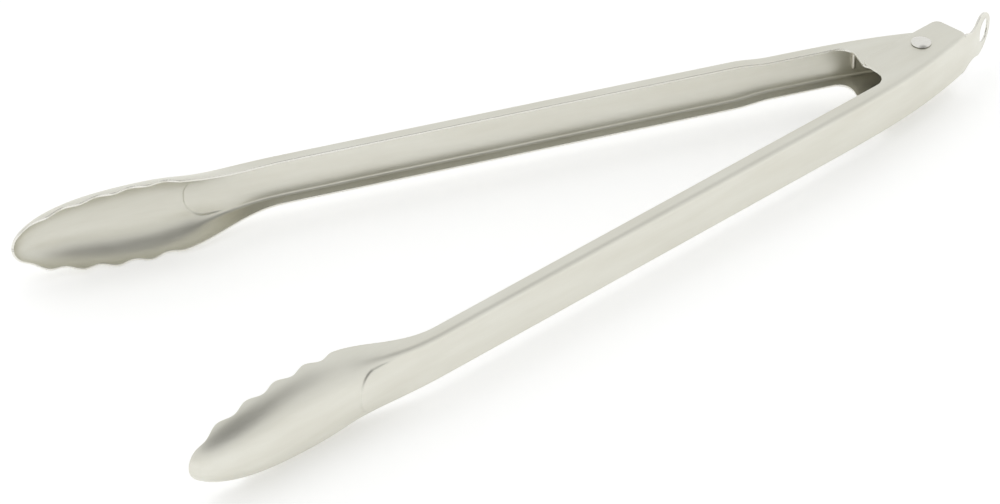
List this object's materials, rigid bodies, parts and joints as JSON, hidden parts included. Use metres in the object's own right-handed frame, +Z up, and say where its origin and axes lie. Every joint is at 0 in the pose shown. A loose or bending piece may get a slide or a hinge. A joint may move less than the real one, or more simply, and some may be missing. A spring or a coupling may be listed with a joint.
{
  "type": "kitchen tongs",
  "caption": "Spring loaded stainless steel tongs: channel-shaped arms with scalloped spoon heads, riveted together at the back, with a hanging tab.",
  "frame": {"origin": "centre of the bottom of the bounding box of the open tongs, lying on one side; the bottom is the plane that the lower edges of both heads rest on", "axes": "+X along the bisector of the open arms, from the heads towards the hinge; +Y from the outer arm to the inner arm; +Z up, along the pivot rivet"},
  "size_m": [0.4054, 0.1584, 0.0364],
  "materials": {
    "arm_steel": "satin brushed along the arm",
    "rivet_steel": "polished",
    "spring_wire": "bright drawn wire"
  },
  "bodies": {
    "outer": {"outer_arm": "arm_steel", "pivot_rivet": "rivet_steel", "spacer_sleeve": "rivet_steel", "torsion_spring": "spring_wire"},
    "inner": {"inner_arm": "arm_steel"}
  },
  "joints": [
    {"name": "arm_pivot", "type": "hinge", "parent": "outer", "child": "inner", "pos_m": [0.16173, 0, 0.01818], "axis": [0, 0, 1], "range_deg": [0, 22.2], "stiffness_Nm_per_rad": 0.76, "springref_deg": -40.11, "deforming": ["torsion_spring"]}
  ]
}
